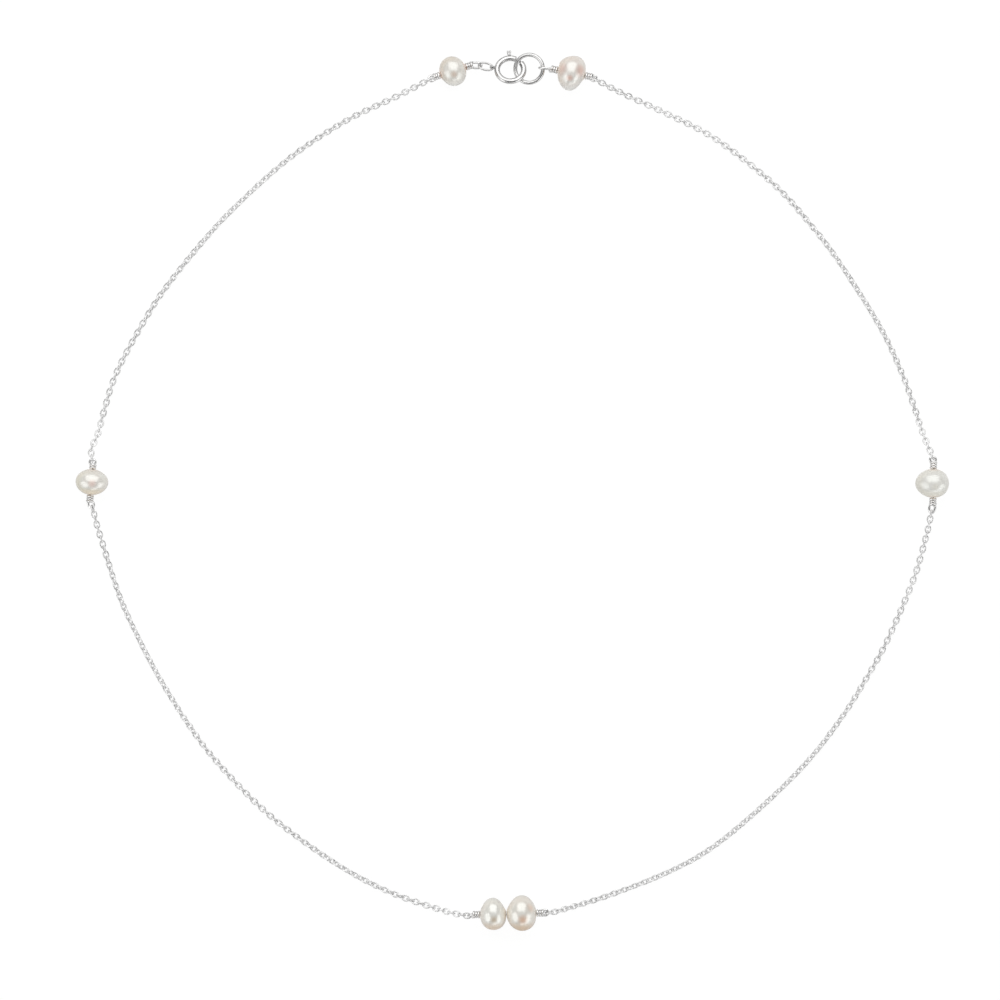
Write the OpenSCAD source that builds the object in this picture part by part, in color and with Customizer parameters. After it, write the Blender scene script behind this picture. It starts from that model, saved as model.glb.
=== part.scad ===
// Pearl choker, lying closed in a flat loop. Six drilled off-round pearls sit on wrapped wires,
// which fine cable chain joins. A spring ring, a connector ring and a jump ring close it at the back.
// +Z is up and the surface that it lies on is z = 0. The clasp is at +Y and the front pearls at -Y.

/* [Pearls] */
// Front left pearl: length along its wire, width across
front_left_size = [4.05, 5.1]; // [3:0.05:6]
// Front right pearl: length along its wire, width across
front_right_size = [4.6, 5.6]; // [3:0.05:6]
// Left pearl: length along its wire, width across
left_size = [4.0, 5.0]; // [3:0.05:6]
// Right pearl: length along its wire, width across
right_size = [4.45, 5.25]; // [3:0.05:6]
// Back left pearl: length along its wire, width across
back_left_size = [4.1, 4.6]; // [3:0.05:6]
// Back right pearl: length along its wire, width across
back_right_size = [4.25, 5.5]; // [3:0.05:6]
// Hole drilled through each pearl
bore_d = 0.7; // [0.5:0.05:0.9]

/* [Wrapped wire] */
// Wire through the pearls, of their wraps and of their eyes
wire_d = 0.35; // [0.3:0.01:0.4]
// Gap between a pearl and the wraps beside it
wrap_gap = 0.03; // [0.02:0.01:0.1]
// Width of the plain round eyes
eye_w = 1.25; // [1.15:0.05:1.5]

/* [Chain] */
// Wire of a chain link
link_wire = 0.2; // [0.18:0.01:0.22]
// Width of a chain link
link_w = 1.02; // [0.95:0.01:1.15]
// Spacing of the links along the chain, before it is fitted to each stretch
link_pitch = 0.86; // [0.8:0.01:1]
// Clearance between one link and the next
link_gap = 0.13; // [0.1:0.01:0.14]
// Height of the lying chain's middle
chain_z = 0.56; // [0.55:0.01:0.8]
// Distance over which the chain comes down from an eye
drop_l = 7; // [5:0.5:9]

/* [Clasp] */
// Middle radius of the spring ring
ring_r = 2.09; // [2:0.01:2.2]
// Tube of the spring ring
tube_d = 0.74; // [0.7:0.01:0.8]
// Bore of that tube
tube_bore = 0.46; // [0.42:0.01:0.5]
// Bolt that slides in the tube
bolt_d = 0.38; // [0.34:0.01:0.4]
// Travel of the bolt, in degrees about the ring's middle
bolt_travel = 36; // [34:1:37]
// Middle radius of the jump ring
jump_r = 2.31; // [2.2:0.01:2.4]
// Wire of the jump ring
jump_wire = 0.53; // [0.45:0.01:0.56]
// Connector ring: length and width
connector_size = [2.55, 1.8]; // [1.6:0.05:2.6]
// Wire of the connector ring
connector_wire = 0.3; // [0.25:0.01:0.32]

/* [Hidden] */
$fn = 32;
pearl_bands = 24;
pearl_color = "#EFE5DA";
silver_color = "#C8CACD";

// Wraps: each turn is a ring round the wire, and a core fills the middle of the turns
turn_pitch = 0.36;
wrap_core = 0.84;
eye_lap = 0.1;

// A place is [x, y, z, heading, fall]: a piece's local X axis points along the heading
// and falls by so many degrees.
left_at = [-66, 1.25, left_size[1] / 2, -95, 0];
right_at = [66.1, 1.05, right_size[1] / 2, -91, 0];
back_left_at = [-9.3, 65.75, back_left_size[1] / 2, 18, 5];
back_right_at = [9.35, 65.45, back_right_size[1] / 2, -11.5, -5];
front_gap = 0.1;
front_step = (front_left_size[0] + front_right_size[0]) / 2 + front_gap;
front_fall = -asin((front_right_size[1] - front_left_size[1]) / 2 / front_step);
front_at = [-2.95, -66.57, front_left_size[1] / 2, 1.5, front_fall];

// A wire's end is [turns, length of the eye, its width, its roll, its yaw].
turns_of = 0;
length_of = 1;
width_of = 2;
roll_of = 3;
yaw_of = 4;
left_top_end = [2, 1.25, eye_w, 0, 14];
left_bottom_end = [3, 1.5, eye_w, 20, 25];
right_top_end = [3, 1.25, eye_w, 0, 14];
right_bottom_end = [3, 1.75, eye_w, 10, -2];
back_left_chain_end = [3, 1.25, eye_w, 10, 10];
back_left_clasp_end = [3, 1.95, 1.4, 38, -20];
back_right_clasp_end = [3, 2.3, 1.5, 90, 6];
back_right_chain_end = [3, 1.25, eye_w, 20, -17];
front_left_end = [3, 1.25, eye_w, 80, 16];
front_right_end = [3, 1.25, eye_w, 20, 8];

// Routes of the chain stretches between the eyes, in the plane of the loop
route_upper_left = [
    [-17.5, 62], [-26, 58], [-35, 52], [-43.5, 44.5], [-49, 38.5], [-54.5, 31.5],
    [-58, 26], [-62, 18.5], [-64, 12.5], [-65, 9], [-66, 6.5],
];
route_upper_right = [
    [16, 63], [24.5, 59], [32, 55], [41, 48], [47, 41.5],
    [51.5, 35.5], [57.5, 26], [61, 19], [63, 13.5], [64.5, 9],
];
route_lower_left = [
    [-64.5, -7.5], [-62, -15.5], [-60, -20.5], [-56, -28.5], [-51, -36.5],
    [-46, -43], [-38, -51], [-28, -58.5], [-19.5, -63], [-11, -66],
];
route_lower_right = [
    [65, -7.5], [63, -14], [59, -23.5], [56, -29], [52, -35.5], [46.5, -42.5],
    [39, -50], [31, -56.5], [23.5, -60.5], [14, -64], [7.5, -66],
];
route_steps = 6;

// Roll of the links along a stretch: [share of its length, roll]. Every second link is turned
// by a further quarter turn.
rolls_upper_left = [[0, 100], [0.15, 70], [0.4, 45], [0.7, 20], [1, 0]];
rolls_upper_right = [[0, 110], [0.2, 90], [0.5, 65], [0.8, 30], [1, 0]];

link_l = link_pitch + 2 * link_wire + link_gap;
first_link = (link_l - link_wire) / 2 - wire_d - link_gap - link_wire / 2;

// Swept stretches: a closed tube of the links' width
sweep_d = link_w;
sweep_sides = 8;
sweep_ring_step = 2.5;
sweep_gap = 0.1;
sweep_look = 0.2;

// Spring ring: angles run anticlockwise from +X in the ring's own plane
ring_at = [-0.25, 66.0, 1.82];
ring_tilt = -28;
gap_start = 35;
gap_end = 67;
tab_angle = 180;
tab_solid = 12;
tab_wire = 0.28;
tab_d = 1.16;
tab_r = ring_r + tube_d / 2 + 0.36;
bolt_tip = 31;
bolt_tail = 130;
bore_over = 1;
slot_w = 0.34;
slot_spare = 5;

// Knob of the bolt: width, thickness and height, with a narrower foot and a groove down its top
knob_angle = 94;
knob_size = [0.7, 0.44, 0.8];
knob_foot_w = 0.5;
knob_clear = 0.12;
knob_groove = 0.16;
stem_d = 0.24;
stem_lap = 0.1;

jump_at = [2.85, 66.25, 1.96];
jump_tilt = -9.5;
connector_at = [-4.13, 66.37, 1.83, -16, 3];
connector_roll = -41.5;

// Direction and world position of a point in a place's own frame
function turn_z(p, a) = [p[0] * cos(a) - p[1] * sin(a), p[0] * sin(a) + p[1] * cos(a), p[2]];
function turn_y(p, a) = [p[0] * cos(a) + p[2] * sin(a), p[1], p[2] * cos(a) - p[0] * sin(a)];
function world(at, p) = [at[0], at[1], at[2]] + turn_z(turn_y(p, at[4]), at[3]);

// Where an eye begins, and its outer tip. side is 1 at the end that the wire's X axis points to.
function wraps_from(pearl_l) = pearl_l / 2 + wrap_gap;
function eye_from(pearl_l, end) = wraps_from(pearl_l) + end[turns_of] * turn_pitch - eye_lap;
function eye_tip(at, from, end, side) = world(
    at,
    [side * from, 0, 0] + side * turn_z([end[length_of] - wire_d / 2, 0, 0], end[yaw_of])
);

// A smooth curve through the points, and the running length along a list of points
function spline_at(a, b, c, d, t) =
    (2 * b + (c - a) * t + (2 * a - 5 * b + 4 * c - d) * t * t
    + (3 * b - a - 3 * c + d) * t * t * t) / 2;
function spline(points) = let (n = len(points), p = concat([2 * points[0] - points[1]], points,
    [2 * points[n - 1] - points[n - 2]])) concat(
    [for (i = [0:n - 2], j = [0:route_steps - 1])
        spline_at(p[i], p[i + 1], p[i + 2], p[i + 3], j / route_steps)],
    [points[n - 1]]
);
function running(points) = [
    for (i = 0, s = 0; i < len(points);
        s = s + (i + 1 < len(points) ? norm(points[i + 1] - points[i]) : 0), i = i + 1) s
];
function ease(t) = t >= 1 ? 0 : (1 + cos(180 * t)) / 2;
function flat(p) = [p[0], p[1]];

// The line of a chain from one eye's tip to another's: it comes down to chain_z between them
function chain_line(from, route, to) = let (
    plan = spline(concat([flat(from)], route, [flat(to)])),
    run = running(plan),
    all = run[len(run) - 1]
) [
    for (i = [0:len(plan) - 1]) [
        plan[i][0],
        plan[i][1],
        chain_z + (from[2] - chain_z) * ease(run[i] / drop_l)
            + (to[2] - chain_z) * ease((all - run[i]) / drop_l),
    ]
];
function length_of_line(line) = let (run = running(line)) run[len(run) - 1];
function columns(line) = let (run = running(line)) [
    for (k = [0:2]) [for (i = [0:len(line) - 1]) [run[i], line[i][k]]]
];
function along(table, s) = [lookup(s, table[0]), lookup(s, table[1]), lookup(s, table[2])];

line_upper_left = chain_line(
    eye_tip(back_left_at, eye_from(back_left_size[0], back_left_chain_end), back_left_chain_end, -1),
    route_upper_left,
    eye_tip(left_at, eye_from(left_size[0], left_top_end), left_top_end, -1)
);
line_upper_right = chain_line(
    eye_tip(back_right_at, eye_from(back_right_size[0], back_right_chain_end), back_right_chain_end, 1),
    route_upper_right,
    eye_tip(right_at, eye_from(right_size[0], right_top_end), right_top_end, -1)
);
line_lower_left = chain_line(
    eye_tip(left_at, eye_from(left_size[0], left_bottom_end), left_bottom_end, 1),
    route_lower_left,
    eye_tip(front_at, eye_from(front_left_size[0], front_left_end), front_left_end, -1)
);
line_lower_right = chain_line(
    eye_tip(right_at, eye_from(right_size[0], right_bottom_end), right_bottom_end, 1),
    route_lower_right,
    eye_tip(front_at, front_step + eye_from(front_right_size[0], front_right_end), front_right_end, 1)
);

// Puts a piece at its place
module put(at) {
    translate([at[0], at[1], at[2]])
        rotate([0, at[4], at[3]])
            children();
}

// An off-round pearl, turned about its local X axis and drilled along it
module pearl(size) {
    rim = asin(bore_d / size[1]);
    outline = [
        for (i = [0:pearl_bands]) let (a = rim + (180 - 2 * rim) * i / pearl_bands)
            [size[1] / 2 * sin(a), size[0] / 2 * cos(a)]
    ];
    color(pearl_color)
        rotate([0, 90, 0])
            rotate_extrude()
                polygon(outline);
}

// A closed ring of round wire, longer along X than it is wide
module oval_ring(l, w, wire) {
    bend_r = (w - wire) / 2;
    straight = l - w;
    for (side = [-1, 1]) {
        translate([side * straight / 2, 0, 0])
            rotate([0, 0, -90 * side])
                rotate_extrude(angle = 180)
                    translate([bend_r, 0])
                        circle(d = wire);
        translate([-straight / 2, side * bend_r, 0])
            rotate([0, 90, 0])
                cylinder(d = wire, h = straight);
    }
}

// The wraps and the eye beyond one end of a pearl, along +X
module wire_end(pearl_l, end) {
    from = wraps_from(pearl_l);
    translate([from, 0, 0])
        rotate([0, 90, 0])
            cylinder(d = wrap_core, h = end[turns_of] * turn_pitch);
    for (i = [0:end[turns_of] - 1])
        translate([from + (i + 0.5) * turn_pitch, 0, 0])
            rotate([0, 90, 0])
                rotate_extrude()
                    translate([wire_d, 0])
                        circle(d = wire_d);
    translate([eye_from(pearl_l, end), 0, 0])
        rotate([end[roll_of], 0, end[yaw_of]])
            translate([(end[length_of] - wire_d) / 2, 0, 0])
                oval_ring(end[length_of], end[width_of], wire_d);
}

// A wire through pearls: its far pearl's middle is step further along X
module wrapped_wire(at, near_l, near_end, far_l, far_end, step = 0) {
    stem_from = -wraps_from(near_l) - turn_pitch / 2;
    stem_to = step + wraps_from(far_l) + turn_pitch / 2;
    color(silver_color)
        put(at) {
            translate([stem_from, 0, 0])
                rotate([0, 90, 0])
                    cylinder(d = wire_d, h = stem_to - stem_from);
            rotate([0, 0, 180])
                wire_end(near_l, near_end);
            translate([step, 0, 0])
                wire_end(far_l, far_end);
        }
}

// A stretch of interlocked links along a line
module link_chain(line, rolls) {
    table = columns(line);
    span = length_of_line(line) - 2 * first_link;
    count = round(span / link_pitch);
    pitch = span / count;
    color(silver_color)
        for (i = [0:count]) {
            middle = first_link + i * pitch;
            to = along(table, middle + pitch / 2) - along(table, middle - pitch / 2);
            translate(along(table, middle))
                rotate([0, -asin(to[2] / norm(to)), atan2(to[1], to[0])])
                    rotate([lookup(i / count, rolls) + 90 * (i % 2), 0, 0])
                        oval_ring(link_l, link_w, link_wire);
        }
}

// A closed tube swept along a line
module swept_chain(line) {
    table = columns(line);
    whole = length_of_line(line);
    rings = round((whole - 2 * sweep_gap) / sweep_ring_step);
    step = (whole - 2 * sweep_gap) / rings;
    points = [
        for (i = [0:rings]) let (
            s = sweep_gap + i * step,
            to = along(table, s + sweep_look) - along(table, s - sweep_look),
            ahead = to / norm(to),
            across = [-ahead[1], ahead[0], 0] / norm([ahead[0], ahead[1]]),
            up = cross(ahead, across)
        ) for (j = [0:sweep_sides - 1]) let (a = (j + 0.5) * 360 / sweep_sides)
            along(table, s) + sweep_d / 2 * (cos(a) * across + sin(a) * up)
    ];
    sides = [
        for (i = [0:rings - 1], j = [0:sweep_sides - 1]) let (k = (j + 1) % sweep_sides) [
            i * sweep_sides + j,
            (i + 1) * sweep_sides + j,
            (i + 1) * sweep_sides + k,
            i * sweep_sides + k,
        ]
    ];
    first_cap = [for (j = [0:sweep_sides - 1]) j];
    last_cap = [for (j = [sweep_sides - 1:-1:0]) rings * sweep_sides + j];
    color(silver_color)
        polyhedron(points = points, faces = concat(sides, [first_cap, last_cap]));
}

module pearl_front_left() {
    put(front_at)
        pearl(front_left_size);
}

module pearl_front_right() {
    put(front_at)
        translate([front_step, 0, 0])
            pearl(front_right_size);
}

module pearl_left() {
    put(left_at)
        pearl(left_size);
}

module pearl_right() {
    put(right_at)
        pearl(right_size);
}

module pearl_back_left() {
    put(back_left_at)
        pearl(back_left_size);
}

module pearl_back_right() {
    put(back_right_at)
        pearl(back_right_size);
}

module wire_front() {
    wrapped_wire(front_at, front_left_size[0], front_left_end, front_right_size[0], front_right_end, front_step);
}

module wire_left() {
    wrapped_wire(left_at, left_size[0], left_top_end, left_size[0], left_bottom_end);
}

module wire_right() {
    wrapped_wire(right_at, right_size[0], right_top_end, right_size[0], right_bottom_end);
}

module wire_back_left() {
    wrapped_wire(back_left_at, back_left_size[0], back_left_chain_end, back_left_size[0], back_left_clasp_end);
}

module wire_back_right() {
    wrapped_wire(back_right_at, back_right_size[0], back_right_clasp_end, back_right_size[0], back_right_chain_end);
}

module chain_upper_left() {
    link_chain(line_upper_left, rolls_upper_left);
}

module chain_upper_right() {
    link_chain(line_upper_right, rolls_upper_right);
}

module chain_lower_left() {
    swept_chain(line_lower_left);
}

module chain_lower_right() {
    swept_chain(line_lower_right);
}

module connector_ring() {
    color(silver_color)
        put(connector_at)
            rotate([connector_roll, 0, 0])
                oval_ring(connector_size[0], connector_size[1], connector_wire);
}

// An arc of round bar or bore in the spring ring's plane
module ring_arc(d, from, to) {
    rotate_extrude(angle = to - from, start = from)
        translate([ring_r, 0])
            circle(d = d);
}

// The hollow C-shaped tube, open at the gap and slotted for the knob, with its tab
module spring_ring() {
    color(silver_color)
        translate(ring_at)
            rotate([ring_tilt, 0, 0]) {
                difference() {
                    ring_arc(tube_d, gap_end, 360 + gap_start);
                    ring_arc(tube_bore, gap_end - bore_over, tab_angle - tab_solid);
                    ring_arc(tube_bore, tab_angle + tab_solid, 360 + gap_start + bore_over);
                    rotate_extrude(angle = bolt_travel + 2 * slot_spare, start = knob_angle - slot_spare)
                        translate([ring_r, -slot_w / 2])
                            square([tube_d, slot_w]);
                }
                rotate([90, 0, tab_angle])
                    translate([tab_r, 0, 0])
                        rotate_extrude()
                            translate([(tab_d - tab_wire) / 2, 0])
                                circle(d = tab_wire);
            }
}

// The curved bolt, with the grooved knob that stands out through the slot
module spring_bolt() {
    color(silver_color)
        translate(ring_at)
            rotate([ring_tilt, 0, 0]) {
                ring_arc(bolt_d, bolt_tip, bolt_tail);
                rotate([0, 0, knob_angle])
                    translate([ring_r, 0, 0]) {
                        rotate([0, 90, 0])
                            cylinder(d = stem_d, h = tube_d / 2 + knob_clear + stem_lap);
                        translate([tube_d / 2 + knob_clear, 0, 0])
                            knob();
                    }
            }
}

// The knob stands along +X: it widens outwards and has a groove down its top
module knob() {
    difference() {
        translate([0, 0, -knob_size[1] / 2])
            linear_extrude(height = knob_size[1])
                polygon([
                    [0, -knob_foot_w / 2],
                    [knob_size[2], -knob_size[0] / 2],
                    [knob_size[2], knob_size[0] / 2],
                    [0, knob_foot_w / 2],
                ]);
        translate([-knob_clear, 0, knob_size[1] / 2])
            rotate([0, 90, 0])
                cylinder(d = knob_groove, h = knob_size[2] + 2 * knob_clear);
    }
}

module jump_ring() {
    color(silver_color)
        translate(jump_at)
            rotate([0, jump_tilt, 0])
                rotate_extrude()
                    translate([jump_r, 0])
                        circle(d = jump_wire);
}

pearl_front_left();
pearl_front_right();
pearl_left();
pearl_right();
pearl_back_left();
pearl_back_right();
wire_front();
wire_left();
wire_right();
wire_back_left();
wire_back_right();
chain_upper_left();
chain_upper_right();
chain_lower_left();
chain_lower_right();
connector_ring();
spring_ring();
spring_bolt();
jump_ring();
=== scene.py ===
"""Pearl choker, lying closed on white paper: meshes, finishes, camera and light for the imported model.

Sizes and places are in millimetres, as the part's own values are, and the meshes are made in metres.
"""

import math

import bpy
import numpy as np
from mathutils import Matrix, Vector, noise


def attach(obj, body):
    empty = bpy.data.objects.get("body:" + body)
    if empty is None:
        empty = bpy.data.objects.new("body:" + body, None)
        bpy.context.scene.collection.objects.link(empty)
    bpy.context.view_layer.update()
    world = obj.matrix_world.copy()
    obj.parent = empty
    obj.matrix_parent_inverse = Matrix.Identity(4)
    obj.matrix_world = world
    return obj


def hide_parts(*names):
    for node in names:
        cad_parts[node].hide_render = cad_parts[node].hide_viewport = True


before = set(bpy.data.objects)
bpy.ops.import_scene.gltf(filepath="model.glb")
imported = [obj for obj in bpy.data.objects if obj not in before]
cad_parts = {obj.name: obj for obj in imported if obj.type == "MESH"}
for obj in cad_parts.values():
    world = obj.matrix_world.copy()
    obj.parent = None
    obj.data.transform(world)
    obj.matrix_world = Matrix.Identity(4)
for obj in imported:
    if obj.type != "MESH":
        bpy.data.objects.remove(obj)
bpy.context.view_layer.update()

MM = 0.001

# Pearls: length along the wire and width across
FRONT_LEFT_SIZE = (4.05, 5.1)
FRONT_RIGHT_SIZE = (4.6, 5.6)
LEFT_SIZE = (4.0, 5.0)
RIGHT_SIZE = (4.45, 5.25)
BACK_LEFT_SIZE = (4.1, 4.6)
BACK_RIGHT_SIZE = (4.25, 5.5)
BORE_D = 0.7

# Wrapped wire: WIRE_D is the source's wire and sets the places, WIRE_THICK is the wire as drawn here
WIRE_D = 0.35
WIRE_THICK = 0.37
WRAP_GAP = 0.03
EYE_W = 1.25
TURN_PITCH = 0.36
EYE_LAP = 0.1

# Chain: LINK_WIRE is the source's wire and sets the places, LINK_THICK is the wire as drawn here
LINK_WIRE = 0.2
LINK_THICK = 0.23
LINK_W = 1.02
LINK_PITCH = 0.86
LINK_GAP = 0.13
LINK_L = LINK_PITCH + 2 * LINK_WIRE + LINK_GAP
FIRST_LINK = (LINK_L - LINK_WIRE) / 2 - WIRE_D - LINK_GAP - LINK_WIRE / 2
CHAIN_Z = 0.56
DROP_L = 7
ROUTE_STEPS = 6

# Clasp: TUBE_D is the source's tube and sets the places, TUBE_SKIN is its outside as drawn here
RING_R = 2.09
TUBE_D = 0.74
TUBE_SKIN = 0.87
TUBE_BORE = 0.46
BOLT_D = 0.38
JUMP_R = 2.2
JUMP_WIRE = 0.62
CONNECTOR_SIZE = (2.55, 1.8)
CONNECTOR_WIRE = 0.33
GAP_START = 35
GAP_END = 67
TAB_ANGLE = 172
TAB_WIRE = 0.25
TAB_D = 0.95
TAB_STANDS = 0.36
TAB_R = RING_R + TUBE_D / 2 + TAB_STANDS
BOLT_TIP = 31
BOLT_TAIL = 130
BOLT_TRAVEL = 36
KNOB_ANGLE = 94
KNOB_TALL = 0.9
KNOB_CLEAR = 0.12
STEM_D = 0.24
SLOT_W = 0.34
SLOT_SPARE = 5

# Places: x, y, z, heading and fall, in millimetres and degrees
FRONT_GAP = 0.1
FRONT_STEP = (FRONT_LEFT_SIZE[0] + FRONT_RIGHT_SIZE[0]) / 2 + FRONT_GAP
FRONT_FALL = -math.degrees(math.asin((FRONT_RIGHT_SIZE[1] - FRONT_LEFT_SIZE[1]) / 2 / FRONT_STEP))
FRONT_AT = (-2.95, -66.57, FRONT_LEFT_SIZE[1] / 2, 1.5, FRONT_FALL)
LEFT_AT = (-66, 1.25, LEFT_SIZE[1] / 2, -95, 0)
RIGHT_AT = (66.1, 1.05, RIGHT_SIZE[1] / 2, -91, 0)
BACK_LEFT_AT = (-9.3, 65.75, BACK_LEFT_SIZE[1] / 2, 18, 5)
BACK_RIGHT_AT = (9.35, 65.45, BACK_RIGHT_SIZE[1] / 2, -11.5, -5)
RING_AT = (-0.25, 66.0, 1.82)
RING_TILT = -28
JUMP_AT = (2.69, 66.14, 1.99)
JUMP_TILT = -9.5
CONNECTOR_AT = (-4.13, 66.5, 1.77, -10, 6)
CONNECTOR_ROLL = -41.5

# Wire ends: turns, length of the eye, its width, its roll and its yaw
LEFT_TOP_END = (2, 1.25, EYE_W, 0, 14)
LEFT_BOTTOM_END = (3, 1.5, EYE_W, 20, 25)
RIGHT_TOP_END = (3, 1.25, EYE_W, 0, 14)
RIGHT_BOTTOM_END = (3, 1.75, EYE_W, 10, -9)
BACK_LEFT_CHAIN_END = (3, 1.25, EYE_W, 10, 10)
BACK_LEFT_CLASP_END = (3, 1.95, 1.4, 38, -20)
BACK_RIGHT_CLASP_END = (3, 2.36, 1.56, 90, 6)
BACK_RIGHT_CHAIN_END = (3, 1.25, EYE_W, 20, -17)
FRONT_LEFT_END = (3, 1.25, EYE_W, 80, 8)
FRONT_RIGHT_END = (3, 1.25, EYE_W, 20, 3)

# Routes of the chain stretches between the eyes
ROUTE_UPPER_LEFT = (
    (-17.55, 62.1), (-26.05, 58.05), (-35.05, 52.1), (-43.5, 44.5), (-49.05, 38.5), (-54.6, 31.55),
    (-58.1, 26.05), (-62.1, 18.55), (-64.1, 12.5), (-65, 9), (-66, 6.5),
)
ROUTE_UPPER_RIGHT = (
    (15.95, 62.95), (24.55, 59.05), (32.1, 55.1), (41.1, 48.1), (47.05, 41.55),
    (51.6, 35.55), (57.6, 26.05), (61, 19), (63.05, 13.5), (64.5, 9),
)
ROUTE_LOWER_LEFT = (
    (-64.6, -7.55), (-62.1, -15.5), (-60.05, -20.5), (-56, -28.5), (-51.05, -36.55),
    (-46.1, -43.05), (-38.1, -51.1), (-28, -58.5), (-19.55, -63.05), (-11, -66),
)
ROUTE_LOWER_RIGHT = (
    (65, -7.5), (63.1, -14.05), (59.05, -23.5), (56.05, -29), (52, -35.5), (46.55, -42.55),
    (39, -50), (31, -56.5), (23.5, -60.5), (14.05, -64.1), (7.5, -66),
)

# Roll of the links along a stretch: share of its length, roll
ROLLS_UPPER_LEFT = ((0, 100), (0.15, 70), (0.4, 45), (0.7, 20), (1, 0))
ROLLS_UPPER_RIGHT = ((0, 110), (0.2, 90), (0.5, 65), (0.8, 30), (1, 0))
ROLLS_LOWER_LEFT = ((0, 110), (0.1, 60), (0.3, 40), (0.6, 10), (0.85, 60), (1, 100))
ROLLS_LOWER_RIGHT = ((0, 100), (0.2, 80), (0.45, 50), (0.7, 40), (1, 70))
ROLL_WOBBLE = 4
STEADY_LINKS = 3


def turn(axis, degrees):
    """Rotation about X, Y or Z as a 3 by 3 array."""
    c, s = math.cos(math.radians(degrees)), math.sin(math.radians(degrees))
    i, j = {"X": (1, 2), "Y": (2, 0), "Z": (0, 1)}[axis]
    m = np.eye(3)
    m[i, i] = m[j, j] = c
    m[i, j], m[j, i] = -s, s
    return m


def eased(t):
    """A share from 0 to 1 that starts and ends softly."""
    return t * t * (3 - 2 * t)


def run_along(points):
    """The distance gone along a line at each of its points."""
    return np.concatenate([[0], np.cumsum(np.linalg.norm(np.diff(points, axis=0), axis=1))])


def curve_through(points, shares):
    """A smooth curve through the points, taken at the given shares of the way from each to the next."""
    p = np.vstack([2 * points[0] - points[1], points, 2 * points[-1] - points[-2]])
    t = shares[:, None]
    pieces = [
        (2 * b + (c - a) * t + (2 * a - 5 * b + 4 * c - d) * t ** 2 + (3 * b - a - 3 * c + d) * t ** 3) / 2
        for a, b, c, d in zip(p, p[1:], p[2:], p[3:])
    ]
    return np.vstack([*pieces, points[-1:]])


def put(points, at):
    """Points in a place's own frame, moved to the part's frame."""
    return np.asarray(points, float) @ (turn("Z", at[3]) @ turn("Y", at[4])).T + np.array(at[:3], float)


def in_ring(points):
    """Points in the spring ring's own plane, moved to the part's frame."""
    return np.asarray(points, float) @ turn("X", RING_TILT).T + np.array(RING_AT)


# Meshes: a part is a pair of vertices and faces


def joined(parts):
    """Several parts as one."""
    vertices, faces, start = [], [], 0
    for v, f in parts:
        vertices.append(v)
        faces += [tuple(start + i for i in face) for face in f]
        start += len(v)
    return np.vstack(vertices), faces


def unit(v):
    return v / np.linalg.norm(v, axis=-1, keepdims=True)


NEARLY_UPRIGHT = 0.1
CAP_STEPS = 4
CAP_REACH = 0.45


def frames_along(points, closed):
    """Two directions across a line at each of its points, carried along it without twist."""
    if closed:
        ahead = unit(np.roll(points, -1, 0) - np.roll(points, 1, 0))
    else:
        ahead = unit(np.gradient(points, axis=0))
    first = np.cross(ahead[0], (0, 0, 1.0))
    if np.linalg.norm(first) < NEARLY_UPRIGHT:
        first = np.cross(ahead[0], (0, 1.0, 0))
    across = [first / np.linalg.norm(first)]
    for t in ahead[1:]:
        a = across[-1] - t * (across[-1] @ t)
        across.append(a / np.linalg.norm(a))
    across = np.array(across)
    if closed:
        t = ahead[0]
        end = across[-1] - t * (across[-1] @ t)
        gap = math.atan2(np.cross(end, across[0]) @ t, end @ across[0])
        share = gap * np.arange(len(points)) / len(points)
        up = np.cross(ahead, across)
        across = across * np.cos(share)[:, None] + up * np.sin(share)[:, None]
    return across, np.cross(ahead, across)


def grid_faces(rows, sides, closed):
    """Faces between rows of points round a line. If closed, the last row is joined to the first."""
    return [
        (i * sides + j, (i + 1) % rows * sides + j, (i + 1) % rows * sides + (j + 1) % sides,
         i * sides + (j + 1) % sides)
        for i in range(rows if closed else rows - 1) for j in range(sides)
    ]


def tube(points, radius, sides, closed=False):
    """A tube round a line. radius is one number or one for each point; open ends are softly rounded."""
    points = np.asarray(points, float)
    radius = np.broadcast_to(radius, len(points)).astype(float)
    if not closed:
        ahead = unit(np.gradient(points, axis=0))
        turns = [math.pi / 2 * (k + 1) / (CAP_STEPS + 1) for k in range(CAP_STEPS)]
        reach = [CAP_REACH * math.sin(a) for a in turns]
        start = [points[0] - ahead[0] * r * radius[0] for r in reversed(reach)]
        end = [points[-1] + ahead[-1] * r * radius[-1] for r in reach]
        radius = np.concatenate([
            [radius[0] * math.cos(a) for a in reversed(turns)],
            radius,
            [radius[-1] * math.cos(a) for a in turns],
        ])
        points = np.vstack([start, points, end])
    across, up = frames_along(points, closed)
    angle = np.linspace(0, 2 * math.pi, sides, endpoint=False)
    ring = np.cos(angle)[None, :, None] * across[:, None] + np.sin(angle)[None, :, None] * up[:, None]
    vertices = (points[:, None] + radius[:, None, None] * ring).reshape(-1, 3)
    rows = len(points)
    faces = [f[::-1] for f in grid_faces(rows, sides, closed)]
    if not closed:
        faces.append(tuple(range(sides)))
        faces.append(tuple(reversed(range((rows - 1) * sides, rows * sides))))
    return vertices, faces


def make_piece(name, part, material, body, node):
    """A smooth object from a part, riding on its body in place of a node."""
    vertices, faces = part
    mesh = bpy.data.meshes.new(name)
    mesh.from_pydata((vertices * MM).tolist(), [], faces)
    mesh.polygons.foreach_set("use_smooth", [True] * len(mesh.polygons))
    mesh.materials.append(material)
    piece = bpy.data.objects.new(name, mesh)
    bpy.context.scene.collection.objects.link(piece)
    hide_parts(node)
    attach(piece, body)
    return piece


# Materials

PEACH = (0.97, 0.75, 0.57)

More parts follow.
